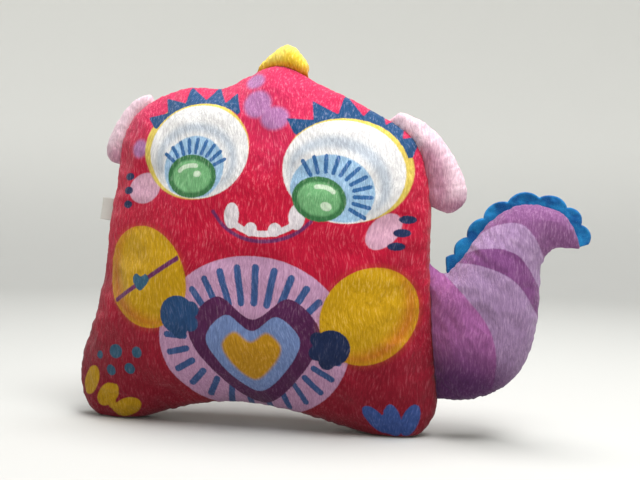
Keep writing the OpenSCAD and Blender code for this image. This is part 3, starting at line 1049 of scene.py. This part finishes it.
def sewn_part(name, outline, spacing, form, relief, finish, inks, slot_name, hinge, thread, bend=None):
    """Two panels, a filling and a seam thread, which all take the relief's curl and the cloth's bend. hinge
    is two places in drawing mm, which come back in the frame's metres."""
    start, end = (in_frame((x, 0, z)) for x, z in hinge)
    pieces = []
    for side, word in ((FRONT, "front_panel"), (BACK, "back_panel")):
        node = f"{name}_{word}"
        piece, count = panel("sewn_" + node, outline, spacing, form, side, relief, bend)
        print_on(piece, inks, count)
        pieces.append(dress(piece, finish, slot_name, node))
    inside = filling("loose_" + name + "_filling", outline, form, relief, bend)
    pieces.append(dress(inside, FIBRE, "polyester_filling", name + "_filling"))
    seam = lock_stitches("stitched_" + name + "_seam", outline, relief.curl)
    pieces.append(dress(seam, thread, "sewing_thread", name + "_seam_thread"))
    for piece in pieces:
        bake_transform(piece)
    return start, end


def edge_part(name, free, ends, spacing, depth, folds, curl, hinge, slot_name, dye, inks, thread):
    """A part sewn along the body's outline, between two places on it. folds is its relief's seed
    and depths, dye what its plush takes."""
    outline, root = sewn_outline(free, *ends, spacing)
    relief = Relief(*folds, curl=curl, root=root)
    finish = plush(*dye, inks)
    form = (depth, SMALL_POWER)
    sewn_part(name, outline, spacing, form, relief, finish, inks, slot_name, hinge, thread)


FIBRE = fibre_filling()
RED_THREAD = thread_finish("red_thread", tint(170, 30, 60))
PINK_THREAD = thread_finish("pink_thread", tint(232, 190, 204))
GOLD_THREAD = thread_finish("gold_thread", tint(220, 160, 40))
LILAC_THREAD = thread_finish("lilac_thread", tint(150, 100, 160))


def make_body():
    spacing = 1.4
    outline = body_outline(spacing)
    relief = Relief(11, groove=2.0, pucker=0.35, dent=1.1, nap=0.16, floor=True)
    bend = ClothField(body_outline(7), 7.0, BODY_FORM, 5)
    printed = plush("printed_plush", CRIMSONS, 0.04, 0.31, body_inks)
    plain = plush("plain_plush", CRIMSONS, 0.04, 0.31)
    front, count = panel("sewn_body_front", outline, spacing, BODY_FORM, FRONT, relief, bend)
    print_on(front, body_inks, count)
    back, _ = panel("sewn_body_back", outline, spacing, BODY_FORM, BACK, relief, bend)
    inside = filling("loose_body_filling", body_outline(4), BODY_FORM, relief, bend)
    seam = lock_stitches("stitched_body_seam", body_outline(3), floor=True)
    for piece, finish, slot_name, node in (
        (front, printed, "printed_plush", "body_front_panel"),
        (back, plain, "printed_plush", "body_back_panel"),
        (inside, FIBRE, "polyester_filling", "body_filling"),
        (seam, RED_THREAD, "sewing_thread", "body_seam_thread"),
        (hand_stitches(), RED_THREAD, "sewing_thread", "closing_stitches"),
    ):
        dress(piece, finish, slot_name, node)
        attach(piece, "body")


def hand_stitches():
    """Stitches across the middle of the bottom seam, each of two twisted plies."""
    count, start = 9, BODY_POINTS.index((-30, 17))
    parts = []
    for i in range(count):
        x, z = on_loop(BODY_POINTS, start + (i + 0.5) / count)
        share = np.linspace(-1, 1, 25)
        rise = 1.6 * np.abs(share) ** 3
        for ply in (0, math.pi):
            turn = share * 9 + ply
            path = np.stack([
                x + 0.9 * share + 0.22 * np.cos(turn),
                2.9 * share,
                z + 1.7 + rise + 0.22 * np.sin(turn),
            ], 1)
            parts.append(tube(path, 0.24, up=(1.0, 0.0, 0.0)))
    return new_piece("hand_stitches", *joined(parts))


def make_ears():
    spacing = 1.1
    pinks = (EAR_PINK,) * 3
    edge_part(
        "left_ear", LEFT_EAR_FREE, ends=(3.75, 5.5), spacing=spacing, depth=8.0,
        folds=(31, 1.2, 0.35, 0.4, 0.2), curl=((-118.5, 260.3), (-0.88, 0.475), 18),
        hinge=((-115.0, 258.4), (-123.8, 263.1)), slot_name="ear_plush",
        dye=("ear_plush_left", pinks, 0.2, 0.3), inks=left_ear_inks, thread=PINK_THREAD)
    edge_part(
        "right_ear", RIGHT_EAR_FREE, ends=(20.75, 22.75), spacing=spacing, depth=12.0,
        folds=(41, 1.4, 0.45, 0.6, 0.2), curl=((142.5, 241.8), (0.87, 0.493), 5),
        hinge=((139.0, 239.8), (149.5, 245.8)), slot_name="ear_plush",
        dye=("ear_plush_right", pinks, 0.2, 0.3), inks=right_ear_inks, thread=PINK_THREAD)


def make_horn():
    edge_part(
        "horn", HORN_FREE, ends=(-0.75, 1.0), spacing=1.0, depth=11.0,
        folds=(51, 1.2, 0.4, 0.3, 0.18), curl=((24, 312.7), (0, 1), 2),
        hinge=((24.0, 308.0), (24.0, 317.0)), slot_name="horn_plush",
        dye=("horn_plush", HORN_YELLOWS, 0.29, 0.32), inks=horn_inks, thread=GOLD_THREAD)


def make_tail():
    spacing = 1.4
    finish = plush("tail_plush", (TAIL_LILAC,) * 3, 0.03, 0.2, tail_inks)
    outline, root = tail_outline(spacing)
    relief = Relief(61, groove=1.6, pucker=0.5, dent=0.9, nap=0.24, root=root)
    bend = ClothField(tail_outline(5.5)[0], 5.5, TAIL_FORM, 8)
    start, end = sewn_part(
        "tail", outline, spacing, TAIL_FORM, relief, finish, tail_inks, slot_name="tail_plush",
        hinge=((154.0, 91.7), (170.0, 93.1)), thread=LILAC_THREAD, bend=bend)
    crest = dress(make_crest(), felt(), "crest_felt", "tail_crest")
    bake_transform(crest)


def make_crest():
    """A strip of thick felt with round scallops, its root caught in the tail's upper seam."""
    first, scallops = 0.22, 8
    share = np.linspace(0, 1, 420)
    p = with_ends(TAIL_TOP)
    places = (first + (1 - first) * share) * (len(TAIL_TOP) - 1) + 1
    places = np.minimum(places, len(TAIL_TOP) - 1e-6)
    edge = np.array([curve_at(*p[int(s) - 1 : int(s) + 3], s - int(s)) for s in places])
    out = -right_of(unit(np.gradient(edge, axis=0)))
    round_top = np.abs(np.sin(math.pi * scallops * share)) ** 0.7
    rise = 1.5 + np.minimum(1, share * 12) * (4.0 + 4.5 * round_top)
    outer = edge + rise[:, None] * out
    inner = edge - 3.0 * out
    outline = np.vstack([inner[::3], outer[::-2]])
    flat, faces = triangulated(outline, 1.0)
    away, _, _ = nearest_on(flat, outline)
    thick = 0.9 * np.sqrt(np.maximum(0, 1 - (1 - np.clip(-away / 0.8, 0, 1)) ** 2))
    sway = 0.9 * waves(flat, 30, 71) + 0.25 * waves(flat, 7, 72)
    sway *= smooth_step(2, 9, np.abs(nearest_on_open(flat, inner)[0]))
    fuzz = 0.08 * waves(flat, 1.6, 73)
    front, back = (
        np.stack([flat[:, 0], sway + side * (thick + fuzz * (thick > 0.3)), flat[:, 1]], 1)
        for side in (FRONT, BACK)
    )
    return new_piece("felt_crest", *closed_skin(front, faces, back, faces, len(outline)))


def make_label():
    """A blank ribbon folded double, its two ends caught in the body's left seam."""
    reach, height, thick, half_gap = 11.8, 20.0, 0.5, 0.75
    out = np.linspace(-3.0, reach, 18)
    turn = np.linspace(0, math.pi, 10)[1:-1]
    belly = 0.35 * np.sin(math.pi * np.clip(out / reach, 0, 1))
    path = np.vstack([
        np.stack([out, half_gap + belly], 1),
        np.stack([reach + 1.1 * np.sin(turn), half_gap * np.cos(turn)], 1),
        np.stack([out[::-1], -half_gap - 0.4 * belly[::-1]], 1),
    ])
    off = 0.5 * thick * right_of(unit(np.gradient(path, axis=0)))
    rim = np.vstack([path + off, (path - off)[::-1]])
    rows, n = 26, len(rim)
    lean = math.radians(8)
    points = []
    for k in range(rows):
        down = height * k / (rows - 1)
        warp = 0.5 * math.sin(2.2 * k / rows + 0.4) * np.clip(rim[:, 0] / reach, 0, 1) ** 2
        x = -130.6 - down * math.sin(lean) - rim[:, 0] * math.cos(lean)
        z = 195.0 - down * math.cos(lean) + rim[:, 0] * math.sin(lean)
        points.append(np.stack([x, rim[:, 1] + warp, z], 1))
    faces = [
        (k * n + i, k * n + (i + 1) % n, (k + 1) * n + (i + 1) % n, (k + 1) * n + i)
        for k in range(rows - 1) for i in range(n)
    ]
    for end, flip in ((0, True), ((rows - 1) * n, False)):
        for i in range(n // 2 - 1):
            face = (end + i, end + i + 1, end + n - 2 - i, end + n - 1 - i)
            faces.append(face[::-1] if flip else face)
    label = new_piece("folded_label", np.vstack(points), faces)
    dress(label, ribbon(), "woven_ribbon", "side_label")
    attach(label, "label")


# ---------------- stage, light and camera


def make_stage():
    """A round pale floor that curves up into a pale wall on every side."""
    flat, bend, top, sides = 1.5, 0.9, 4.0, 96
    arc = np.linspace(0.05, math.pi / 2, 24)
    profile = [(flat * k / 6, 0.0) for k in range(1, 7)]
    profile += [(flat + bend * math.sin(a), bend - bend * math.cos(a)) for a in arc]
    profile.append((flat + bend, top))
    turns = [2 * math.pi * k / sides for k in range(sides)]
    points = [(0.0, 0.0, 0.0)]
    points += [(r * math.cos(a), r * math.sin(a), z) for r, z in profile for a in turns]
    faces = [(0, 1 + k, 1 + (k + 1) % sides) for k in range(sides)]
    for low in range(1, len(points) - sides, sides):
        for k in range(sides):
            after = (k + 1) % sides
            faces.append((low + k, low + sides + k, low + sides + after, low + after))
    sweep = smooth_mesh("studio_sweep", points, faces)
    g = Graph("studio_paper", 0.9)
    paper = g.mix(g.ramp(g.height(), 0.0, 0.5), tint(196, 196, 193), tint(222, 222, 218))
    paper = g.mix(g.times(g.noise(0.004, 2.0), 0.05), paper, tint(180, 180, 176))
    sweep.data.materials.append(g.finish(paper))


def soft_light(name, place, aim, size, power, colour=(1.0, 1.0, 1.0)):
    light = bpy.data.lights.new(name, "AREA")
    light.shape = "DISK"
    light.size = size
    light.energy = power
    light.color = colour
    lamp = placed(name, light)
    lamp.location = place
    lamp.rotation_euler = (Vector(aim) - Vector(place)).to_track_quat("-Z", "Y").to_euler()


def make_lights():
    chest = (0, 0, 0.2)
    soft_light("key", (0.55, -0.62, 1.75), chest, 0.9, 33.0)
    soft_light("fill", (-1.4, -1.6, 1.0), chest, 1.6, 0.8, (0.95, 0.97, 1.0))
    soft_light("top", (0.1, 0.1, 1.8), chest, 0.9, 22.0)
    soft_light("wall", (-0.5, 0.6, 2.6), (-0.7, 2.4, 0.9), 1.6, 12.0)
    world = bpy.data.worlds.new("studio")
    world.use_nodes = True
    background = world.node_tree.nodes["Background"]
    background.inputs["Color"].default_value = (0.86, 0.88, 0.92, 1.0)
    background.inputs["Strength"].default_value = 0.32
    bpy.context.scene.world = world


def make_camera():
    """The photograph's view: from the front, a little to the right and level with the toy."""
    turn, down, roll = math.radians(11.5), math.radians(1.35), math.radians(1.27)
    place = Vector((0.20957 + SHIFT * MM, -0.74889, 0.181))
    level = Vector((math.cos(turn), math.sin(turn), 0.0))
    ahead = Vector((-math.sin(turn) * math.cos(down), math.cos(turn) * math.cos(down), -math.sin(down)))
    lift = level.cross(ahead)
    right = level * math.cos(roll) + lift * math.sin(roll)
    up = lift * math.cos(roll) - level * math.sin(roll)
    data = bpy.data.cameras.new("camera")
    data.lens = 50.0
    data.sensor_width = 36.0
    camera = placed("camera", data)
    axes = Matrix((right, up, -ahead)).transposed()
    camera.matrix_world = Matrix.Translation(place) @ axes.to_4x4()
    bpy.context.scene.camera = camera


make_camera()
make_stage()
make_lights()
make_body()
make_ears()
make_horn()
make_tail()
make_label()
bpy.context.scene.view_settings.view_transform = "Standard"
